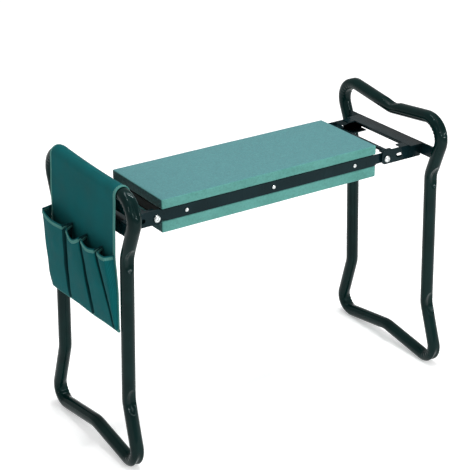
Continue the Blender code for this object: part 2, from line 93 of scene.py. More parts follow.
# Corners of an end frame's centreline: half width, height, bend radius; side -1 is the left frame
HANDLE_DIP = (0.0, 461 * MM, 45 * MM)
BACK_HANDLE_CORNERS = {-1: (153 * MM, 477 * MM, 34 * MM), 1: (154 * MM, 484 * MM, 34 * MM)}
FRONT_HANDLE_CORNERS = {-1: (149 * MM, 473 * MM, 34 * MM), 1: (149 * MM, 478 * MM, 34 * MM)}
UPPER_KINK = (108 * MM, 370 * MM, 45 * MM)
LOWER_KINK = (108 * MM, 123 * MM, 45 * MM)
FOOT_CORNER = (143 * MM, 10 * MM, 26 * MM)
FOOT_RISE = (0.0, 31 * MM, 60 * MM)
# The kinds of bend at those corners, in order round the frame
BEND_KINDS = ("kink", "corner", "kink", "kink", "corner", "kink", "corner", "kink", "kink", "corner")
# How much the groove along the feet's bends takes off the tube's lowest line
GROOVE_AT_FEET = 0.95 * MM

# Dent pressed into the inner side of a kink: depth, half length, half angle, and its rim's sharpness
KINK_DENT = (6.2 * MM, 23 * MM, 0.95)
KINK_RIM_POWER = 0.8
# Tight corner: reach along the tube, flattened inner side and collapsed outer side (depth, half angle)
CORNER_REACH = 19 * MM
CORNER_FLAT = (3.4 * MM, 0.95)
CORNER_GROOVE = (4.4 * MM, 0.62)
CORNER_GROOVE_POWER = 1.4
CORNER_BULGE = 0.07
# Ripples at a tight corner: depth, pitch, and the middle and spread of their band round the tube
RIPPLE = (0.4 * MM, 7.5 * MM, 1.05, 0.4)

# Weld beads: radius, rings and sides, rounding of the ends, ripple's share of the radius and its rate
WELD_RADIUS = 2.1 * MM
WELD_STEPS = 28
WELD_SIDES = 12
WELD_END_POWER = 8
WELD_LEAST_TAPER = 0.02
WELD_RIPPLE = (0.14, 40)
# Their place on the cross member's web
WEB_HALF_SHEET = 1.1 * MM
WELD_STAND_OFF = 0.6 * MM
WELD_TOP_INSET = 1.5 * MM
WELD_BOTTOM_INSET = 1 * MM

# Bent sheet steel: how much its edges are rounded, and what counts as one flat face and as a sharp edge
STEEL_KINDS = ("arm", "cross", "front", "back", "end")
EDGE_SOFTNESS = 0.45 * MM
WASHER_SOFTNESS = 0.25 * MM
EDGE_SEGMENTS = 2
CAD_MERGE_DISTANCE = 0.000002
FLAT_JOIN_ANGLE = math.radians(4)
SHARP_ANGLE = 0.9
FLAT_AREA = 4 * MM * MM

# Fasteners: share of the CAD head's radius, head height, depth of the pressed centre, shank radius
FASTENERS = {
    "pivot_bolt": (1, 3.6 * MM, 1.0 * MM, 3 * MM),
    "rail_rivet": (0.85, 1.8 * MM, 0.25 * MM, 2 * MM),
}
# Outline of a head, as shares of its radius and height: flat and rim of the pressed centre, dome, foot
DIMPLE_FLAT = 0.2
DIMPLE_RIM = 0.3
DIMPLE_RIM_DEPTH = 0.1
DOME_START = 0.36
DOME_END_HEIGHT = 0.18
DOME_STEPS = 8
HEAD_FOOT = 0.97
TURNED_SIDES = 40
TURNED_SHARP_ANGLE = math.radians(50)
LEAST_RADIUS = 0.00001

# Pads: edge rounding and its steps, crown, and the spans along, across and up
PAD_EDGE = 2.4 * MM
PAD_EDGE_STEPS = 4
PAD_SPANS = (84, 32, 4)
PAD_CROWN = 0.7 * MM
PAD_CROWN_POWER = 4
# Unevenness of their faces, sides and ends: height, feature size, what it adds to the pad's seed
PAD_FACE_WAVE = (0.18 * MM, 0.035, 0)
PAD_SIDE_WAVE = (0.35 * MM, 0.09, 3)
PAD_END_WAVE = (0.35 * MM, 0.07, 5)

# Pouch's back sheet: cloth, insets of its edges, and its drape over the handle
POUCH_CLOTH = 1.5 * MM
POUCH_STAND_OFF = 1.4 * MM
SHEET_EDGE_INSET = 1 * MM
SHEET_FOOT_INSET = 1.5 * MM
SHEET_COLUMNS = 72
FLAP_DROP = 42 * MM
FLAP_ROWS = 8
TURN_ROWS = 16
DROP_ROWS = 44
BRIDGE_HALF_LENGTH = 92 * MM
BRIDGE_SAG = 1.8 * MM
# Billow of its outer face: share of the drape's radius that counts as outer, drop over which it grows, depth
OUTER_FACE = 0.9
BILLOW_GROWTH = 0.05
BILLOW = 1.2 * MM
# Waves in the cloth: depth, feature size and seed
WIDE_WAVE = (1.3 * MM, 0.06, 4.1)
WIDE_WAVE_SQUEEZE = 0.5
SMALL_WAVE = (0.7 * MM, 0.028, 9.4)
# Flare of its front corner
FLARE_TOP = 375 * MM
FLARE = 8 * MM
FLARE_EASE = 1.8

# Pockets, from front to back: seams as shares of the pouch's width, depths, sags of the mouths
SEAM_TOP_SHARES = (0.0, 0.155, 0.39, 0.615, 1.0)
SEAM_BOTTOM_SHARES = (0.0, 0.03, 0.335, 0.69, 1.0)
POCKET_DEPTHS = (16 * MM, 18 * MM, 19 * MM, 22 * MM)
MOUTH_SAGS = (0.5 * MM, 5 * MM, 12 * MM, 3 * MM)
MOUTH_SAG_POWER = 1.3
MOUTH_ENDS = (366.5 * MM, 377 * MM)
POCKET_COUNT = 4
POCKET_CLOTH = 1.2 * MM
POCKET_ROWS = 46
POCKET_INSET = 2 * MM
POCKET_FOOT = 4 * MM
POCKET_STAND_OFF = 1.8 * MM
# Their fullness: share that the crown adds, share of the depth at the foot, power of its growth upwards
POCKET_CROWN = 0.16
POCKET_FOOT_DEPTH = 0.05
POCKET_GROWTH = 0.62
POCKET_WAVE = (0.9 * MM, 0.03, 6.6)
POCKET_WAVE_SQUEEZE = 0.6
# Pleats between them: fold, undercut and its rate of growth upwards, and how far the painted shade inside
# them reaches
PLEAT_HALF_WIDTH = 4.2 * MM
PLEAT_WIDEST = 0.3
PLEAT_UNDERCUT = 9 * MM
PLEAT_RATE = 0.8
PLEAT_PAINTED_SHADE_START = 0.8
PLEAT_PAINTED_SHADE_END = 1.1
# Shares of a pocket's width near a fold, and the steps between the folds
FOLD_SHARES = (0.0, 0.02, 0.045, 0.075, 0.11, 0.15, 0.2, 0.26)
BETWEEN_FOLDS = 10

# Bindings: width, thicknesses, section, and insets from the sheet's edges
BINDING_WIDTH = 5.5 * MM
BINDING_THICKNESS = 2.3 * MM
BINDING_SIDES = 14
BINDING_ROUNDNESS = (0.6, 0.8)
BINDING_INSET = 3.2 * MM
BOTTOM_BINDING_THICKNESS = 4.2 * MM
BOTTOM_BINDING_RISE = 4.2 * MM
BOTTOM_BINDING_OUT = 0.9 * MM
BOTTOM_STEPS = 80
# Binding of a pocket's mouth: thickness, first share and span of the width, and share of the height
MOUTH_BINDING_THICKNESS = 2.2 * MM
MOUTH_LINE_START = 0.02
MOUTH_LINE_SPAN = 0.96
MOUTH_LINE_HEIGHT = 0.965
MOUTH_STEPS = 40

# Stitches: pitch, radius and sides, and each ring's place along one as a share of the pitch, with its size
STITCH_PITCH = 3.6 * MM
STITCH_RADIUS = 0.35 * MM
STITCH_SIDES = 6
STITCH_RINGS = ((-0.3, 0.35), (-0.22, 1.0), (0.22, 1.0), (0.3, 0.35))
# Their distance from the middle of the bindings, and how far they stand out
EDGE_SEAM_INSET = 2.2 * MM
BOTTOM_SEAM_RISE = 2.0 * MM
BOTTOM_SEAM_OUT = 2.3 * MM
MOUTH_SEAM_DROP = 2.3 * MM
MOUTH_SEAM_OUT = 1.3 * MM


# Meshes

def new_piece(name, mesh, body, material, replaced=()):
    """Add one visible piece that rides on a body and takes a material."""
    piece = bpy.data.objects.new(name, mesh)
    bpy.context.scene.collection.objects.link(piece)
    mesh.materials.clear()
    mesh.materials.append(material)
    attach(piece, body)
    if replaced:
        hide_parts(*replaced)
    return piece


def mesh_from(name, vertices, faces):
    """Make a smooth mesh with faces pointing out."""
    mesh = bpy.data.meshes.new(name)
    mesh.from_pydata(vertices, [], faces)
    work = bmesh.new()
    work.from_mesh(mesh)
    bmesh.ops.remove_doubles(work, verts=work.verts, dist=MERGE_DISTANCE)
    bmesh.ops.recalc_face_normals(work, faces=work.faces)
    work.to_mesh(mesh)
    work.free()
    mesh.shade_smooth()
    return mesh


def grid_faces(rows, columns, wrap_rows=False, wrap_columns=False):
    """List the quads of a grid of points, row by row."""
    faces = []
    for row in range(rows if wrap_rows else rows - 1):
        here, below = row * columns, (row + 1) % rows * columns
        for column in range(columns if wrap_columns else columns - 1):
            beside = (column + 1) % columns
            faces.append((here + column, here + beside, below + beside, below + column))
    return faces


def grid_mesh(name, grid, wrap_rows=False, wrap_columns=False, caps=False):
    """Make a mesh from a grid of points, with end caps if asked."""
    rows, columns = len(grid), len(grid[0])
    vertices = [point for row in grid for point in row]
    faces = grid_faces(rows, columns, wrap_rows, wrap_columns)
    if caps:
        faces.append(tuple(range(columns)))
        faces.append(tuple((rows - 1) * columns + index for index in range(columns)))
    return mesh_from(name, vertices, faces)


def thicken(piece, thickness):
    """Give an open sheet its thickness about its middle surface."""
    solid = piece.modifiers.new("Thickness", "SOLIDIFY")
    solid.thickness = thickness
    solid.offset = 0
    return piece


def smoothstep(value):
    """Ease from 0 to 1."""
    value = min(1.0, max(0.0, value))
    return value * value * (3 - 2 * value)


def lerp(start, end, share):
    """Blend two numbers."""
    return start + (end - start) * share


def wobble(x, y, z, scale, seed):
    """Give smooth noise between -1 and 1 at a place, for a feature size."""
    return noise.noise(Vector((x / scale + seed, y / scale - seed, z / scale + 2 * seed)))


def wave_at(place, wave, seed=0):
    """Give a wave's height at a place, for a (height, feature size, seed) wave."""
    height, size, own_seed = wave
    return height * wobble(*place, size, seed + own_seed)


# Materials

class Shader:
    """Builds one Principled material from nodes."""

    def __init__(self, name, colour, roughness, metallic=0.0):
        self.material = bpy.data.materials.new(name)
        self.material.use_nodes = True
        self.nodes = self.material.node_tree.nodes
        self.links = self.material.node_tree.links
        self.surface = self.nodes["Principled BSDF"]
        self.surface.inputs["Base Color"].default_value = (*colour, 1)
        self.surface.inputs["Roughness"].default_value = roughness
        self.surface.inputs["Metallic"].default_value = metallic
        self.coordinates = self.nodes.new("ShaderNodeTexCoord").outputs
        self.place = self.coordinates["Object"]
        self.bump_from = None

    def set(self, **values):
        """Set constant inputs of the surface by their names."""
        for name, value in values.items():
            self.surface.inputs[name.replace("_", " ")].default_value = value

    def noise(self, scale, detail=3.0, stretch=(1, 1, 1)):
        """Add a noise texture of a scale per metre."""
        mapping = self.nodes.new("ShaderNodeMapping")
        mapping.inputs["Scale"].default_value = stretch
        self.links.new(self.place, mapping.inputs["Vector"])
        texture = self.nodes.new("ShaderNodeTexNoise")
        texture.inputs["Scale"].default_value = scale
        texture.inputs["Detail"].default_value = detail
        self.links.new(mapping.outputs["Vector"], texture.inputs["Vector"])
        return texture.outputs["Fac"]

    def facing(self):
        """Give the parts of the direction that the surface faces."""
        split = self.nodes.new("ShaderNodeSeparateXYZ")
        self.links.new(self.coordinates["Normal"], split.inputs["Vector"])
        return split.outputs

    def threads(self, axis, pitch):
        """Add waves across one axis, a pitch apart, as the threads of a weave."""
        wave = self.nodes.new("ShaderNodeTexWave")
        wave.bands_direction = axis
        wave.wave_profile = "SIN"
        wave.inputs["Scale"].default_value = WAVE_SCALE / pitch
        wave.inputs["Distortion"].default_value = 0.6
        wave.inputs["Detail Scale"].default_value = 1.5
        self.links.new(self.place, wave.inputs["Vector"])
        return wave.outputs["Fac"]

    def math(self, operation, first, second):
        """Combine two values, each a socket or a number."""
        node = self.nodes.new("ShaderNodeMath")
        node.operation = operation
        for socket, value in zip(node.inputs, (first, second)):
            if isinstance(value, (int, float)):
                socket.default_value = value
            else:
                self.links.new(value, socket)
        return node.outputs[0]

    def spread(self, value, low, high, to_low=0.0, to_high=1.0):
        """Map a value's range onto another."""
        node = self.nodes.new("ShaderNodeMapRange")
        for name, number in (("From Min", low), ("From Max", high), ("To Min", to_low), ("To Max", to_high)):
            node.inputs[name].default_value = number
        self.links.new(value, node.inputs["Value"])
        return node.outputs["Result"]

    def colours(self, value, stops):
        """Colour by a value through (position, colour) stops."""
        ramp = self.nodes.new("ShaderNodeValToRGB")
        while len(ramp.color_ramp.elements) < len(stops):
            ramp.color_ramp.elements.new(0.5)
        for element, (position, colour) in zip(ramp.color_ramp.elements, stops):
            element.position = position
            element.color = (*colour, 1)
        self.links.new(value, ramp.inputs["Fac"])
        return ramp.outputs["Color"]

    def mix(self, share, first, second):
        """Mix two colours, each a socket or a colour, by a socket."""
        node = self.nodes.new("ShaderNodeMix")
        node.data_type = "RGBA"
        self.links.new(share, node.inputs["Factor"])
        for socket, value in zip((node.inputs["A"], node.inputs["B"]), (first, second)):
            if isinstance(value, tuple):
                socket.default_value = (*value, 1)
            else:
                self.links.new(value, socket)
        return node.outputs["Result"]

    def colour(self, socket):
        """Drive the base colour."""
        self.links.new(socket, self.surface.inputs["Base Color"])

    def rough(self, socket):
        """Drive the roughness."""
        self.links.new(socket, self.surface.inputs["Roughness"])

    def bump(self, height, distance, strength=1.0):
        """Add a layer of bump on top of those before."""
        node = self.nodes.new("ShaderNodeBump")
        node.inputs["Distance"].default_value = distance
        node.inputs["Strength"].default_value = strength
        self.links.new(height, node.inputs["Height"])
        if self.bump_from:
            self.links.new(self.bump_from, node.inputs["Normal"])
        self.bump_from = node.outputs["Normal"]
        self.links.new(self.bump_from, self.surface.inputs["Normal"])


def enamel(name, dark, light, roughness, coat):
    """Make sprayed enamel: a clear gloss over a faintly uneven colour, with fine dust."""
    shader = Shader(name, dark, roughness)
    shader.set(Coat_Weight=coat, Coat_Roughness=0.03, IOR=1.5, Coat_IOR=1.4, Specular_IOR_Level=0.05)
    shader.set(Specular_Tint=(0.5, 0.95, 1, 1))
    cloud = shader.noise(scale=22)
    shader.colour(shader.colours(cloud, [(0.35, dark), (0.7, light)]))
    smear = shader.noise(scale=60, detail=4, stretch=(1, 1, 0.35))
    shader.rough(shader.spread(smear, 0.3, 0.75, to_low=roughness * 0.75, to_high=roughness * 1.6))
    shader.bump(shader.noise(scale=420, detail=2), distance=0.00004)
    shader.bump(shader.noise(scale=90, detail=2), distance=0.00012)
    return shader.material


def zinc():
    """Make bright zinc plating with dull patches."""
    shader = Shader("bright_zinc", (0.6, 0.62, 0.62), roughness=0.24, metallic=1.0)
    cloud = shader.noise(scale=260, detail=4)
    shader.colour(shader.colours(cloud, [(0.3, (0.42, 0.45, 0.45)), (0.6, (0.66, 0.69, 0.69))]))
    shader.rough(shader.spread(cloud, 0.3, 0.7, to_low=0.38, to_high=0.16))
    shader.bump(shader.noise(scale=900, detail=2), distance=0.00003)
    return shader.material


def foam_cover(name, deep, pale, top, end):
    """Make a pad's cover: fine weave with pale and dark flecks, a painted reflection in a bluer tone on
    upward faces, and painted shade on the end faces.
    """
    shader = Shader(name, deep, roughness=0.75)
    shader.set(Sheen_Weight=0.06, Sheen_Roughness=0.45, Specular_IOR_Level=0.3)
    patches = shader.noise(scale=14)
    flecks = shader.noise(scale=330)
    middle = tuple(lerp(a, b, 0.5) for a, b in zip(deep, pale))
    sides = shader.colours(patches, [(0.3, deep), (0.7, middle)])
    facing = shader.facing()
    # Upward faces blend to the top colour: a painted reflection of the bright surroundings.
    body = shader.mix(shader.spread(facing["Z"], 0.55, 0.95), sides, top)
    # Faces towards the ends blend to the end colour: painted shade.
    painted_end_shade_mask = shader.math("ABSOLUTE", facing["X"], 0)
    with_painted_end_shade = shader.mix(shader.spread(painted_end_shade_mask, 0.6, 0.95), body, end)
    dark_flecks = shader.mix(shader.spread(flecks, 0.47, 0.32, to_high=0.22), with_painted_end_shade, end)
    shader.colour(shader.mix(shader.spread(flecks, 0.5, 0.7, to_high=0.3), dark_flecks, pale))
    shader.rough(shader.spread(flecks, 0.3, 0.7, to_low=0.66, to_high=0.86))
    along, across = shader.threads("X", PAD_THREAD), shader.threads("Y", PAD_THREAD)
    shader.bump(shader.math("MULTIPLY", along, across), distance=0.00022, strength=0.8)
    shader.bump(flecks, distance=0.0003, strength=0.7)
    shader.bump(shader.noise(scale=45), distance=0.0006, strength=0.6)
    return shader.material


def pouch_cloth(name, deep, pale, pitch=POUCH_THREAD):
    """Make coarse woven polyester, its threads running across and down."""
    shader = Shader(name, deep, roughness=0.82)
    shader.set(Sheen_Weight=0.02, Sheen_Roughness=0.4, Specular_IOR_Level=0.05)
    across = shader.threads("Y", pitch)
    down = shader.threads("Z", pitch)
    weave = shader.math("MULTIPLY", across, down)
    cloud = shader.noise(scale=30, detail=4)
    tone = shader.math("ADD", shader.math("MULTIPLY", weave, 0.5), shader.math("MULTIPLY", cloud, 0.6))
    shader.colour(shader.colours(tone, [(0.2, deep), (0.75, pale)]))
    shader.rough(shader.spread(cloud, 0.3, 0.7, to_low=0.72, to_high=0.92))
    shader.bump(weave, distance=0.00035, strength=0.9)
    shader.bump(shader.noise(scale=160), distance=0.0003, strength=0.5)
    return shader.material


def board_painted_shade():
    """Make the hidden core board's edge near-black with a faint grain: painted shade between the pads."""
    shader = Shader("board", (0.012, 0.014, 0.012), roughness=0.8)
    shader.set(Specular_IOR_Level=0.15)
    grain = shader.noise(scale=40, detail=5, stretch=(1, 1, 14))
    shader.colour(shader.colours(grain, [(0.3, (0.008, 0.01, 0.009)), (0.7, (0.024, 0.026, 0.022))]))
    shader.bump(grain, distance=0.0003)
    return shader.material


TUBE_PAINT = enamel(
    "tube_gloss", dark=(0.0008, 0.008, 0.0075), light=(0.002, 0.014, 0.013), roughness=0.16, coat=0.2
)
BRACKET_PAINT = enamel(
    "bracket_gloss", dark=(0.0015, 0.008, 0.010), light=(0.003, 0.013, 0.016), roughness=0.24, coat=0.16
)
ZINC = zinc()
# Pad covers: top is a painted reflection on upward faces; end is painted shade on the end faces, and also the
# colour of the dark flecks.
TOP_FOAM = foam_cover(
    "top_foam", deep=FOAM_DEEP, pale=(0.12, 0.34, 0.31), top=(0.062, 0.2, 0.214), end=(0.014, 0.07, 0.07)
)
LOWER_FOAM = foam_cover(
    "lower_foam", deep=FOAM_DEEP, pale=(0.11, 0.33, 0.30), top=(0.06, 0.2, 0.19), end=(0.02, 0.085, 0.085)
)
POUCH = pouch_cloth("pouch_weave", (0.0015, 0.066, 0.071), (0.004, 0.108, 0.116))
# Darker cloth for the walls inside the pleats: painted shade.
PAINTED_PLEAT_SHADE = pouch_cloth("painted_pleat_shade", (0.001, 0.022, 0.025), (0.002, 0.036, 0.04))
BINDING = pouch_cloth("binding_weave", (0.045, 0.17, 0.15), (0.09, 0.26, 0.235), BINDING_THREAD)
THREAD = pouch_cloth("thread", (0.10, 0.26, 0.24), (0.18, 0.36, 0.34), STITCH_THREAD)
BOARD_PAINTED_SHADE = board_painted_shade()


# Tubes

def bend_points(before, corner, after, radius):
    """List the points of the arc that rounds one corner of a path."""
    to_before = (Vector(before) - Vector(corner)).normalized()
    to_after = (Vector(after) - Vector(corner)).normalized()
    half = to_before.angle(to_after) / 2
    centre = Vector(corner) + (to_before + to_after).normalized() * (radius / math.sin(half))
    start = Vector(corner) + to_before * (radius / math.tan(half)) - centre
    end = Vector(corner) + to_after * (radius / math.tan(half)) - centre
    turn = math.pi - 2 * half
    steps = max(4, math.ceil(turn / BEND_STEP))
    steps += steps % 2
    points = []
    for step in range(steps + 1):
        share = step / steps
        offset = start * math.sin((1 - share) * turn) + end * math.sin(share * turn)
        points.append(centre + offset / math.sin(turn))
    return points


def straight_points(start, end):
    """List the points between two points of a path, a step apart."""
    count = max(1, round((end - start).length / TUBE_STEP))
    return [start.lerp(end, step / count) for step in range(1, count)]


def loop_route(side):
    """Give the points in y and z of one end frame's centreline, and the places of its bends along it."""
    half = [BACK_HANDLE_CORNERS[side], UPPER_KINK, LOWER_KINK, FOOT_CORNER]
    mirrored = [FRONT_HANDLE_CORNERS[side], *half[1:]]
    corners = [HANDLE_DIP, *half, FOOT_RISE, *[(-y, z, radius) for y, z, radius in reversed(mirrored)]]
    route, marks = [], []
    for index, (y, z, radius) in enumerate(corners):
        before, after = corners[index - 1], corners[(index + 1) % len(corners)]
        arc = bend_points(before[:2], (y, z), after[:2], radius)
        if route:
            route += straight_points(route[-1], arc[0])
        marks.append((len(route) + len(arc) // 2, BEND_KINDS[index]))
        route += arc
    route += straight_points(route[-1], route[0])
    return route, marks


def dish(first, second):
    """Give the depth share of a dish with a crisp oval rim, at shares of its half sizes."""
    return max(0.0, 1 - first * first - second * second)


def section_radius(angle, along, kind):
    """Give the tube's radius at an angle from a bend's inner side and a distance from its middle."""
    if kind == "kink":
        depth, half_length, half_angle = KINK_DENT
        return TUBE_RADIUS - depth * dish(along / half_length, angle / half_angle) ** KINK_RIM_POWER
    near = math.exp(-((along / CORNER_REACH) ** 2))
    radius = TUBE_RADIUS * (1 + CORNER_BULGE * near * math.sin(angle) ** 2)
    depth, half_angle = CORNER_FLAT
    radius -= depth * near * dish(0, angle / half_angle)
    depth, half_angle = CORNER_GROOVE
    radius -= depth * near * dish(0, (math.pi - abs(angle)) / half_angle) ** CORNER_GROOVE_POWER
    depth, pitch, middle, spread = RIPPLE
    side = math.exp(-(((abs(angle) - middle) / spread) ** 2))
    return radius + depth * side * near * math.sin(2 * math.pi * along / pitch)


# Boxes of the end frames' CAD tubes, by side
LOOP_BOXES = {-1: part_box("leg_loop_left"), 1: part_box("leg_loop_right")}


def plane_x(side, height):
    """Give the x of an end frame's splayed centre plane at a height."""
    low, high = LOOP_BOXES[side]
    inner, outer = (low[0], high[0]) if side > 0 else (high[0], low[0])
    top, foot = inner + side * TUBE_RADIUS, outer - side * TUBE_RADIUS
    share = (high[2] - TUBE_RADIUS - height) / (high[2] - low[2] - 2 * TUBE_RADIUS)
    return lerp(top, foot, share)


# Centrelines by side, and how much they drop so that the feet stand on the floor
ROUTES = {side: loop_route(side) for side in (-1, 1)}
ROUTE_DROP = min(point[1] for point in ROUTES[1][0]) - TUBE_RADIUS + GROOVE_AT_FEET


def tube_mesh(side):
    """Sweep the tube's section, dented at each bend, round one end frame."""
    route, bends = ROUTES[side]
    count = len(route)
    lengths = [(route[(i + 1) % count] - route[i]).length for i in range(count)]
    places = [sum(lengths[:i]) for i in range(count)]
    total = sum(lengths)
    grid = []
    for index, point in enumerate(route):
        ahead, behind = route[(index + 1) % count], route[index - 1]
        tangent = (ahead - behind).normalized()
        inward = Vector((tangent[1], -tangent[0]))
        gaps = []
        for mark, kind in bends:
            gap = (places[index] - places[mark % count] + total / 2) % total - total / 2
            gaps.append((abs(gap), gap, kind))
        _, along, kind = min(gaps)
        turn = 0 if kind == "corner" else math.pi
        row = []
        for step in range(TUBE_SIDES):
            angle = 2 * math.pi * step / TUBE_SIDES
            from_inside = math.atan2(math.sin(angle + turn), math.cos(angle + turn))
            radius = section_radius(from_inside, along, kind)
            flat = point + inward * (radius * math.cos(angle))
            height = flat[1] - ROUTE_DROP
            row.append((plane_x(side, height) + radius * math.sin(angle), flat[0], height))
        grid.append(row)
    return grid_mesh("tube", grid, wrap_rows=True, wrap_columns=True)


def weld_mesh(start, end, seed):
    """Make a rippled bead of weld between two points."""
    start, end = Vector(start), Vector(end)
    axis = (end - start).normalized()
    across = axis.orthogonal().normalized()
    other = axis.cross(across)
    ripple_share, ripple_rate = WELD_RIPPLE
    grid = []
    for step in range(WELD_STEPS + 1):
        share = step / WELD_STEPS
        taper = math.sqrt(max(WELD_LEAST_TAPER, 1 - (2 * share - 1) ** WELD_END_POWER))
        ripple = 1 + ripple_share * math.sin(share * ripple_rate + seed)
        radius = WELD_RADIUS * taper * ripple
        middle = start.lerp(end, share)
        row = []
        for side in range(WELD_SIDES):
            angle = 2 * math.pi * side / WELD_SIDES
            row.append(middle + across * (radius * math.cos(angle)) + other * (radius * math.sin(angle)))
        grid.append(row)
    return grid_mesh("weld", grid, wrap_columns=True, caps=True)


def build_end_frames():
    """Add the tubes and the welds that hold the cross members in them."""
    for side, end in ((-1, "left"), (1, "right")):
        body = end + "_frame"
        new_piece("tube_" + end, tube_mesh(side), body, TUBE_PAINT, ("leg_loop_" + end,))
        low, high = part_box("cross_member_" + end)
        web_x = high[0] - WEB_HALF_SHEET if side > 0 else low[0] + WEB_HALF_SHEET
        handle = FRONT_HANDLE_CORNERS[1]
        slant = (high[2] - low[2]) * (handle[0] - UPPER_KINK[0]) / (handle[1] - UPPER_KINK[1])
        for facing, face in ((-1, "front"), (1, "back")):
            reach = high[1] + WELD_STAND_OFF
            top = (web_x, facing * reach, high[2] - WELD_TOP_INSET)
            bottom = (web_x, facing * (reach - slant), low[2] + WELD_BOTTOM_INSET)
            mesh = weld_mesh(top, bottom, facing + 2 * side)
            new_piece("weld_" + end + "_" + face, mesh, body, BRACKET_PAINT)


# Sheet steel and fasteners

def softened_copy(node, softness):
    """Copy a CAD node's shape and round its sharp edges."""
    work = bmesh.new()
    work.from_mesh(frame["nodes"][node].data)
    bmesh.ops.remove_doubles(work, verts=work.verts, dist=CAD_MERGE_DISTANCE)
    bmesh.ops.dissolve_limit(work, angle_limit=FLAT_JOIN_ANGLE, verts=work.verts, edges=work.edges)
    closed = [edge for edge in work.edges if len(edge.link_faces) == 2]
    sharp = [edge for edge in closed if edge.calc_face_angle() > SHARP_ANGLE]
    bmesh.ops.bevel(
        work, geom=sharp, affect="EDGES", clamp_overlap=True,
        offset=softness, segments=EDGE_SEGMENTS, profile=0.5,
    )
    bmesh.ops.dissolve_degenerate(work, dist=MERGE_DISTANCE, edges=work.edges)
    bmesh.ops.triangulate(work, faces=[face for face in work.faces if len(face.verts) > 4])
    bmesh.ops.delete(work, geom=[edge for edge in work.edges if not edge.link_faces], context="EDGES")
    mesh = bpy.data.meshes.new(node + "_soft")
    work.to_mesh(mesh)
    work.free()
    mesh.shade_smooth()
    for polygon in mesh.polygons:
        polygon.use_smooth = polygon.area < FLAT_AREA
    return mesh


def body_of_node(node):
    """Give the body that a CAD node belongs to."""
    bodies = frame["record"]["behaviour"]["bodies"]
    return next(body for body, nodes in bodies.items() if node in nodes)


def build_steel():
    """Round the edges of the brackets, rails, bars, washers and nuts, and give the core board near-black
    painted shade.
    """
    steel = [name for name in frame["nodes"] if name.split("_")[0] in STEEL_KINDS]
    for node in sorted(steel):
        mesh = softened_copy(node, EDGE_SOFTNESS)
        new_piece(node + "_steel", mesh, body_of_node(node), BRACKET_PAINT, (node,))
    for node in sorted(name for name in frame["nodes"] if name.startswith(("washer", "nut"))):
        mesh = softened_copy(node, WASHER_SOFTNESS)
        new_piece(node + "_zinc", mesh, body_of_node(node), ZINC, (node,))
    # The core board's near-black colour is painted shade.
    board = frame["nodes"]["seat_board"]
    board.data.materials.clear()
    board.data.materials.append(BOARD_PAINTED_SHADE)


def turned_mesh(profile, centre, facing):
    """Turn (radius, height) points about Y, the heights growing towards facing."""
    grid = []
    for radius, height in profile:
        radius = max(radius, LEAST_RADIUS)
        row = []
        for step in range(TURNED_SIDES):
            angle = 2 * math.pi * step / TURNED_SIDES
            x = centre[0] + radius * math.cos(angle)
            z = centre[2] + radius * math.sin(angle)
            row.append((x, centre[1] + facing * height, z))
        grid.append(row)
    mesh = grid_mesh("turned", grid, wrap_columns=True, caps=True)
    mesh.set_sharp_from_angle(angle=TURNED_SHARP_ANGLE)
    return mesh


def head_profile(radius, height, dimple, shank, length):
    """List a domed rivet head with a pressed centre, then its shank."""
    pressed = height - dimple
    rim = height - DIMPLE_RIM_DEPTH * dimple
    points = [(0, pressed), (DIMPLE_FLAT * radius, pressed), (DIMPLE_RIM * radius, rim)]
    for step in range(DOME_STEPS + 1):
        angle = math.pi / 2 * step / DOME_STEPS
        across = lerp(DOME_START, 1.0, math.sin(angle))
        points.append((across * radius, lerp(DOME_END_HEIGHT, 1.0, math.cos(angle)) * height))
    points += [(HEAD_FOOT * radius, 0), (shank, 0), (shank, -length), (0, -length)]
    return points


def build_fasteners():
    """Replace the pivot bolts and rail rivets with finely turned ones."""
    for node in sorted(name for name in frame["nodes"] if name.startswith(tuple(FASTENERS))):
        kind = next(kind for kind in FASTENERS if node.startswith(kind))
        radius_share, head, dimple, shank = FASTENERS[kind]
        low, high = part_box(node)
        centre = [(a + b) / 2 for a, b in zip(low, high)]
        facing = 1 if centre[1] > 0 else -1
        radius = (high[0] - low[0]) / 2 * radius_share
        outer = high[1] if facing > 0 else low[1]
        seat_y = outer - facing * head
        length = (high[1] - low[1]) - head
        profile = head_profile(radius, head, dimple, shank, length)
        mesh = turned_mesh(profile, (centre[0], seat_y, centre[2]), facing)
        new_piece(node + "_turned", mesh, body_of_node(node), ZINC, (node,))


# Pads

def span_points(low, high, edge, count):
    """List coordinates from low to high, close together at both rounded edges."""
    near = [edge * step / PAD_EDGE_STEPS for step in range(PAD_EDGE_STEPS)]
    inside = [lerp(low + edge, high - edge, step / count) for step in range(count + 1)]
    return [low + value for value in near] + inside + [high - value for value in reversed(near)]


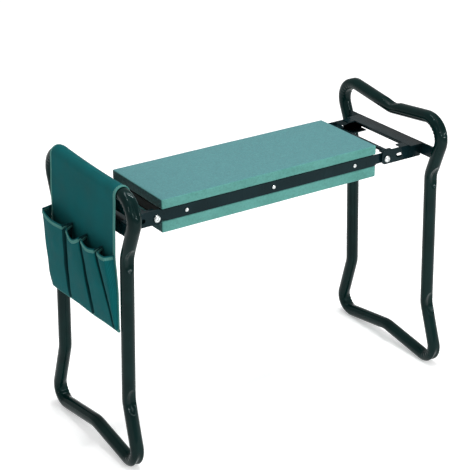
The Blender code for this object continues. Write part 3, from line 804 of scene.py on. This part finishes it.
def pad_mesh(low, high, seed, crown_up):
    """Make a foam block with rounded edges, a slight crown up or down and a slightly uneven skin."""
    axes = [span_points(low[i], high[i], PAD_EDGE, count) for i, count in enumerate(PAD_SPANS)]
    work = bmesh.new()
    cache = {}

    def vertex(i, j, k):
        """Give the block's vertex at a place in the grid, made when it is first asked for."""
        if (i, j, k) not in cache:
            cache[(i, j, k)] = work.verts.new((axes[0][i], axes[1][j], axes[2][k]))
        return cache[(i, j, k)]

    sizes = [len(axis) - 1 for axis in axes]
    for fixed in range(3):
        first, second = [axis for axis in range(3) if axis != fixed]
        for end in (0, sizes[fixed]):
            for a in range(sizes[first]):
                for b in range(sizes[second]):
                    corners = []
                    for da, db in ((0, 0), (1, 0), (1, 1), (0, 1)):
                        key = [0, 0, 0]
                        key[fixed], key[first], key[second] = end, a + da, b + db
                        corners.append(vertex(*key))
                    work.faces.new(corners)
    middle = [(a + b) / 2 for a, b in zip(low, high)]
    half = [(b - a) / 2 for a, b in zip(low, high)]
    for item in work.verts:
        core = Vector([min(max(c, l + PAD_EDGE), h - PAD_EDGE) for c, l, h in zip(item.co, low, high)])
        offset = item.co - core
        if offset.length > 0:
            item.co = core + offset.normalized() * PAD_EDGE
        x, y, z = [(c - m) / h for c, m, h in zip(item.co, middle, half)]
        fullness = (1 - x ** PAD_CROWN_POWER) * (1 - y ** PAD_CROWN_POWER)
        rise = PAD_CROWN * fullness * (z if crown_up * z > 0 else 0)
        item.co.z += rise + wave_at(item.co, PAD_FACE_WAVE, seed)
        item.co.y += wave_at(item.co, PAD_SIDE_WAVE, seed) * abs(y)
        item.co.x += wave_at(item.co, PAD_END_WAVE, seed) * abs(x)
    bmesh.ops.recalc_face_normals(work, faces=work.faces)
    mesh = bpy.data.meshes.new("pad")
    work.to_mesh(mesh)
    work.free()
    mesh.shade_smooth()
    return mesh


def build_pads():
    """Replace both pads."""
    for node, material, crown, seed in (("top_pad", TOP_FOAM, 1, 1.7), ("lower_pad", LOWER_FOAM, -1, 8.2)):
        low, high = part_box(node)
        mesh = pad_mesh(low, high, seed, crown)
        pad = new_piece(node + "_foam", mesh, "seat", material, (node,))


# Pouch

# Limits of the pouch, the drape's radius, and the upper part of the left handle's centreline
PANEL_LOW, PANEL_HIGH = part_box("pouch_panel")
POUCH_FRONT, POUCH_BACK = PANEL_LOW[1], PANEL_HIGH[1]
POUCH_BOTTOM = PANEL_LOW[2]
DRAPE_RADIUS = TUBE_RADIUS + POUCH_STAND_OFF
HANDLE_POINTS = [(point[0], point[1]) for point in ROUTES[-1][0] if point[1] > HANDLE_DIP[1] - 1 * MM]


def tube_height(y):
    """Give the height of the handle's centreline at a depth."""
    return min(HANDLE_POINTS, key=lambda point: abs(point[0] - y))[1] - ROUTE_DROP


def handle_height(y):
    """Give the height that the cloth hangs from at a depth: the handle's, but bridging the dip."""
    if abs(y) < BRIDGE_HALF_LENGTH:
        share = y / BRIDGE_HALF_LENGTH
        chord = lerp(tube_height(-BRIDGE_HALF_LENGTH), tube_height(BRIDGE_HALF_LENGTH), (share + 1) / 2)
        return chord - BRIDGE_SAG * (1 - share ** 2)
    return tube_height(y)


def pouch_point(out, y, z):
    """Place a point out from the left frame's plane, the front corner below the mouths flared and lifted."""
    below = max(0.0, (FLARE_TOP - z) / (FLARE_TOP - POUCH_BOTTOM))
    flare = FLARE * ((POUCH_BACK - y) / (POUCH_BACK - POUCH_FRONT))
    return Vector((plane_x(-1, z) - out, y - flare * smoothstep(FLARE_EASE * below), z + flare * below))


def drape_section(y):
    """Give the line of the back sheet at a depth: up inside the handle, over it and down outside."""
    centre = handle_height(y)
    points = []
    for step in range(FLAP_ROWS):
        points.append((-DRAPE_RADIUS, lerp(centre - FLAP_DROP, centre, step / FLAP_ROWS)))
    for step in range(TURN_ROWS + 1):
        angle = math.pi - math.pi * step / TURN_ROWS
        points.append((DRAPE_RADIUS * math.cos(angle), centre + DRAPE_RADIUS * math.sin(angle)))
    for step in range(1, DROP_ROWS + 1):
        points.append((DRAPE_RADIUS, lerp(centre, POUCH_BOTTOM + SHEET_FOOT_INSET, step / DROP_ROWS)))
    return points


def hang(out, y, z):
    """Let the outer face of the sheet billow a little."""
    if out < OUTER_FACE * DRAPE_RADIUS:
        return out
    below = smoothstep((handle_height(y) - z) / BILLOW_GROWTH)
    soft = wave_at((0, y, z * WIDE_WAVE_SQUEEZE), WIDE_WAVE) + wave_at((0, y, z), SMALL_WAVE)
    return out + below * (BILLOW + soft)


def panel_out(y, z):
    """Give how far the sheet's outer face stands from the frame's plane."""
    return hang(DRAPE_RADIUS, y, z)


def sheet_line(y):
    """List the points of the back sheet at a depth."""
    return [pouch_point(hang(out, y, z), y, z) for out, z in drape_section(y)]


def build_panel():
    """Add the back sheet of the pouch."""
    grid = []
    for column in range(SHEET_COLUMNS + 1):
        y = lerp(POUCH_FRONT + SHEET_EDGE_INSET, POUCH_BACK - SHEET_EDGE_INSET, column / SHEET_COLUMNS)
        grid.append(sheet_line(y))
    mesh = grid_mesh("panel", grid)
    panel = new_piece("pouch_sheet", mesh, "left_frame", POUCH, ("pouch_panel",))
    return thicken(panel, POUCH_CLOTH)


def seam_y(index, share):
    """Give a pocket seam's depth at a share of the pockets' height."""
    ratio = lerp(SEAM_BOTTOM_SHARES[index], SEAM_TOP_SHARES[index], smoothstep(share))
    return lerp(POUCH_FRONT + POCKET_INSET, POUCH_BACK - POCKET_INSET, ratio)


def mouth_height(pocket, across):
    """Give the height of a pocket's mouth at a share of its width."""
    y = lerp(seam_y(pocket, 1), seam_y(pocket + 1, 1), across)
    line = lerp(*MOUTH_ENDS, (y - POUCH_FRONT) / (POUCH_BACK - POUCH_FRONT))
    return line - MOUTH_SAGS[pocket] * math.sin(math.pi * across) ** MOUTH_SAG_POWER


def pocket_point(pocket, across, share):
    """Give a point of a pocket's front at shares of its width and height."""
    y_low, y_high = seam_y(pocket, share), seam_y(pocket + 1, share)
    width = y_high - y_low
    z = lerp(POUCH_BOTTOM + POCKET_FOOT, mouth_height(pocket, across), share)
    fold = min(PLEAT_WIDEST, PLEAT_HALF_WIDTH / width)
    rise = smoothstep(across / fold) * smoothstep((1 - across) / fold)
    crown = 1 - POCKET_CROWN + POCKET_CROWN * math.sin(math.pi * across)
    opening = POCKET_FOOT_DEPTH + (1 - POCKET_FOOT_DEPTH) * share ** POCKET_GROWTH
    depth = POCKET_DEPTHS[pocket] * opening * rise * crown
    inner = pocket > 0 if across < 0.5 else pocket < POCKET_COUNT - 1
    under = PLEAT_UNDERCUT * (1 - rise) * math.sin(math.pi * min(1, share * PLEAT_RATE)) if inner else 0
    y = lerp(y_low, y_high, across) + under
    soft = wave_at((0, y, z * POCKET_WAVE_SQUEEZE), POCKET_WAVE, pocket) * rise
    return pouch_point(panel_out(y, z) + POCKET_STAND_OFF + depth + soft, y, z)


def across_shares():
    """List shares of a pocket's width, close together at its folds."""
    start = FOLD_SHARES[-1]
    span = 1 - 2 * start
    middle = [start + span * step / BETWEEN_FOLDS for step in range(1, BETWEEN_FOLDS)]
    return [*FOLD_SHARES, *middle, *[1 - value for value in reversed(FOLD_SHARES)]]


def build_pockets():
    """Add the pleated front of the pockets, from front to back, with painted shade on the walls inside the
    pleats.
    """
    last = POCKET_COUNT - 1
    grid, inside = [], []
    for pocket in range(POCKET_COUNT):
        shares = across_shares() if pocket == last else across_shares()[:-1]
        fold = PLEAT_HALF_WIDTH / (seam_y(pocket + 1, 0.5) - seam_y(pocket, 0.5))
        for across in shares:
            grid.append([pocket_point(pocket, across, row / POCKET_ROWS) for row in range(POCKET_ROWS + 1)])
            # Faces inside a pleat take the darker cloth, painted shade.
            starts = pocket > 0 and across < PLEAT_PAINTED_SHADE_START * fold
            ends = pocket < last and across > 1 - PLEAT_PAINTED_SHADE_END * fold
            inside.append(starts or ends)
    mesh = grid_mesh("pockets", grid)
    pockets = new_piece("pouch_pocket_sheet", mesh, "left_frame", POUCH, ("pouch_pockets",))
    mesh.materials.append(PAINTED_PLEAT_SHADE)
    for polygon in mesh.polygons:
        polygon.material_index = int(inside[polygon.index // POCKET_ROWS])
    return thicken(pockets, POCKET_CLOTH)


def signed_power(value, power):
    """Raise a value's size to a power and keep its sign."""
    return abs(value) ** power * (1 if value > 0 else -1)


def ribbon_mesh(points, faces_to, thickness):
    """Make a rounded band along points, its flat side towards the directions in faces_to."""
    grid = []
    for index, point in enumerate(points):
        ahead, behind = points[min(index + 1, len(points) - 1)], points[max(index - 1, 0)]
        along = (ahead - behind).normalized()
        normal = faces_to[index] - along * faces_to[index].dot(along)
        normal.normalize()
        side = along.cross(normal)
        row = []
        for step in range(BINDING_SIDES):
            angle = 2 * math.pi * step / BINDING_SIDES
            wide = signed_power(math.cos(angle), BINDING_ROUNDNESS[0])
            tall = signed_power(math.sin(angle), BINDING_ROUNDNESS[1])
            row.append(point + side * (wide * BINDING_WIDTH / 2) + normal * (tall * thickness / 2))
        grid.append(row)
    return grid_mesh("binding", grid, wrap_columns=True, caps=True)


def outward(points):
    """Give directions away from the handle's centreline, for bands on the sheet."""
    result = []
    for point in points:
        centre = handle_height(point.y)
        x = plane_x(-1, point.z)
        if point.z > centre:
            result.append(Vector((point.x - x, 0, point.z - centre)).normalized())
        else:
            result.append(Vector((1 if point.x > x else -1, 0, 0)))
    return result


def stitch_mesh(line, normals, lift):
    """Lay short stitches along a line of points."""
    vertices, faces = [], []
    travelled, due = 0.0, 0.0
    for start, end, normal in zip(line, line[1:], normals):
        length = (end - start).length
        along = (end - start).normalized()
        side = along.cross(normal).normalized() * STITCH_RADIUS
        rise = normal * STITCH_RADIUS
        while due <= travelled + length:
            point = start + along * (due - travelled) + normal * lift
            base = len(vertices)
            for reach, size in STITCH_RINGS:
                spot = point + along * (reach * STITCH_PITCH)
                for step in range(STITCH_SIDES):
                    angle = 2 * math.pi * step / STITCH_SIDES
                    vertices.append(spot + side * (size * math.cos(angle)) + rise * (size * math.sin(angle)))
            rings = grid_faces(len(STITCH_RINGS), STITCH_SIDES, wrap_columns=True)
            faces += [tuple(base + index for index in face) for face in rings]
            last = len(vertices) - STITCH_SIDES
            faces += [tuple(range(base, base + STITCH_SIDES)), tuple(range(last, last + STITCH_SIDES))]
            due += STITCH_PITCH
        travelled += length
    return mesh_from("stitches", vertices, faces)


def sew(name, line, normals, thickness, seam, seam_normals, lift):
    """Add a binding along a line and its stitches along a seam."""
    band = ribbon_mesh(line, normals, thickness)
    thread = stitch_mesh(seam, seam_normals, lift)
    return [
        new_piece("binding_" + name, band, "left_frame", BINDING),
        new_piece("stitches_" + name, thread, "left_frame", THREAD),
    ]


def build_trim():
    """Add the sewn bindings of the sheet's edges and the pockets' mouths, and their stitches."""
    trim = []
    away = Vector((-1, 0, 0))
    for name, edge, inward in (("front", POUCH_FRONT, 1), ("back", POUCH_BACK, -1)):
        y = edge + inward * BINDING_INSET
        line = sheet_line(y)
        seam = sheet_line(y + inward * EDGE_SEAM_INSET)
        trim += sew(name, line, outward(line), BINDING_THICKNESS, seam, outward(seam), BINDING_THICKNESS / 2)
    line = []
    z = POUCH_BOTTOM + BOTTOM_BINDING_RISE
    for step in range(BOTTOM_STEPS + 1):
        y = lerp(POUCH_FRONT, POUCH_BACK, step / BOTTOM_STEPS)
        line.append(pouch_point(panel_out(y, z) + BOTTOM_BINDING_OUT, y, z))
    seam = [point + Vector((0, 0, BOTTOM_SEAM_RISE)) for point in line]
    normals = [away] * len(line)
    trim += sew("bottom", line, normals, BOTTOM_BINDING_THICKNESS, seam, normals, BOTTOM_SEAM_OUT)
    for pocket in range(POCKET_COUNT):
        shares = [MOUTH_LINE_START + MOUTH_LINE_SPAN * step / MOUTH_STEPS for step in range(MOUTH_STEPS + 1)]
        line = [pocket_point(pocket, share, MOUTH_LINE_HEIGHT) for share in shares]
        seam = [point + Vector((0, 0, -MOUTH_SEAM_DROP)) for point in line]
        normals = [away] * len(line)
        name = "mouth_" + str(pocket + 1)
        trim += sew(name, line, normals, MOUTH_BINDING_THICKNESS, seam, normals, MOUTH_SEAM_OUT)
    return trim


def build_pouch():
    """Add the whole pouch: its back sheet, its pockets and their trim."""
    panel = build_panel()
    pockets = build_pockets()
    trim = build_trim()


# Studio

def build_camera():
    """Set the camera."""
    data = bpy.data.cameras.new("camera")
    data.lens = CAMERA_LENS
    data.sensor_width = CAMERA_SENSOR
    data.clip_end = CAMERA_REACH
    camera = bpy.data.objects.new("camera", data)
    bpy.context.scene.collection.objects.link(camera)
    flat = math.cos(CAMERA_TILT)
    east, north = math.sin(CAMERA_HEADING), math.cos(CAMERA_HEADING)
    forward = Vector((east * flat, north * flat, math.sin(CAMERA_TILT)))
    right = Vector((north, -east, 0))
    up = right.cross(forward)
    rolled = right * math.cos(CAMERA_ROLL) + up * math.sin(CAMERA_ROLL)
    upright = -right * math.sin(CAMERA_ROLL) + up * math.cos(CAMERA_ROLL)
    turn = Matrix((rolled, upright, -forward)).transposed().to_4x4()
    camera.matrix_world = Matrix.Translation(CAMERA_PLACE) @ turn
    bpy.context.scene.camera = camera


def area_light(name, place, size, power):
    """Add one soft box that faces the object."""
    data = bpy.data.lights.new(name, "AREA")
    data.shape = "RECTANGLE"
    data.size, data.size_y = size
    data.energy = power
    light = bpy.data.objects.new(name, data)
    light.location = place
    light.rotation_euler = (Vector(LIGHT_AIM) - Vector(place)).to_track_quat("-Z", "Y").to_euler()
    bpy.context.scene.collection.objects.link(light)


def build_studio():
    """Add the pale floor, the white surroundings and the soft boxes."""
    bpy.context.scene.view_settings.view_transform = "Standard"
    mesh = grid_mesh("floor", [[(x * FLOOR_HALF, y * FLOOR_HALF, 0) for x in (-1, 1)] for y in (-1, 1)])
    floor = bpy.data.objects.new("floor", mesh)
    paper = Shader("paper", (0.92, 0.92, 0.92), roughness=0.9)
    paper.set(Specular_IOR_Level=0.1, Emission_Strength=FLOOR_GLOW, Emission_Color=(1, 1, 1, 1))
    mesh.materials.append(paper.material)
    bpy.context.scene.collection.objects.link(floor)
    world = bpy.data.worlds.new("studio")
    world.use_nodes = True
    background = world.node_tree.nodes["Background"]
    background.inputs["Color"].default_value = (1, 1, 1, 1)
    background.inputs["Strength"].default_value = SURROUND_GLOW
    bpy.context.scene.world = world
    for name, (place, size, power) in LIGHTS.items():
        area_light(name, place, size, power)


build_camera()
build_end_frames()
build_steel()
build_fasteners()
build_pads()
build_pouch()
build_studio()
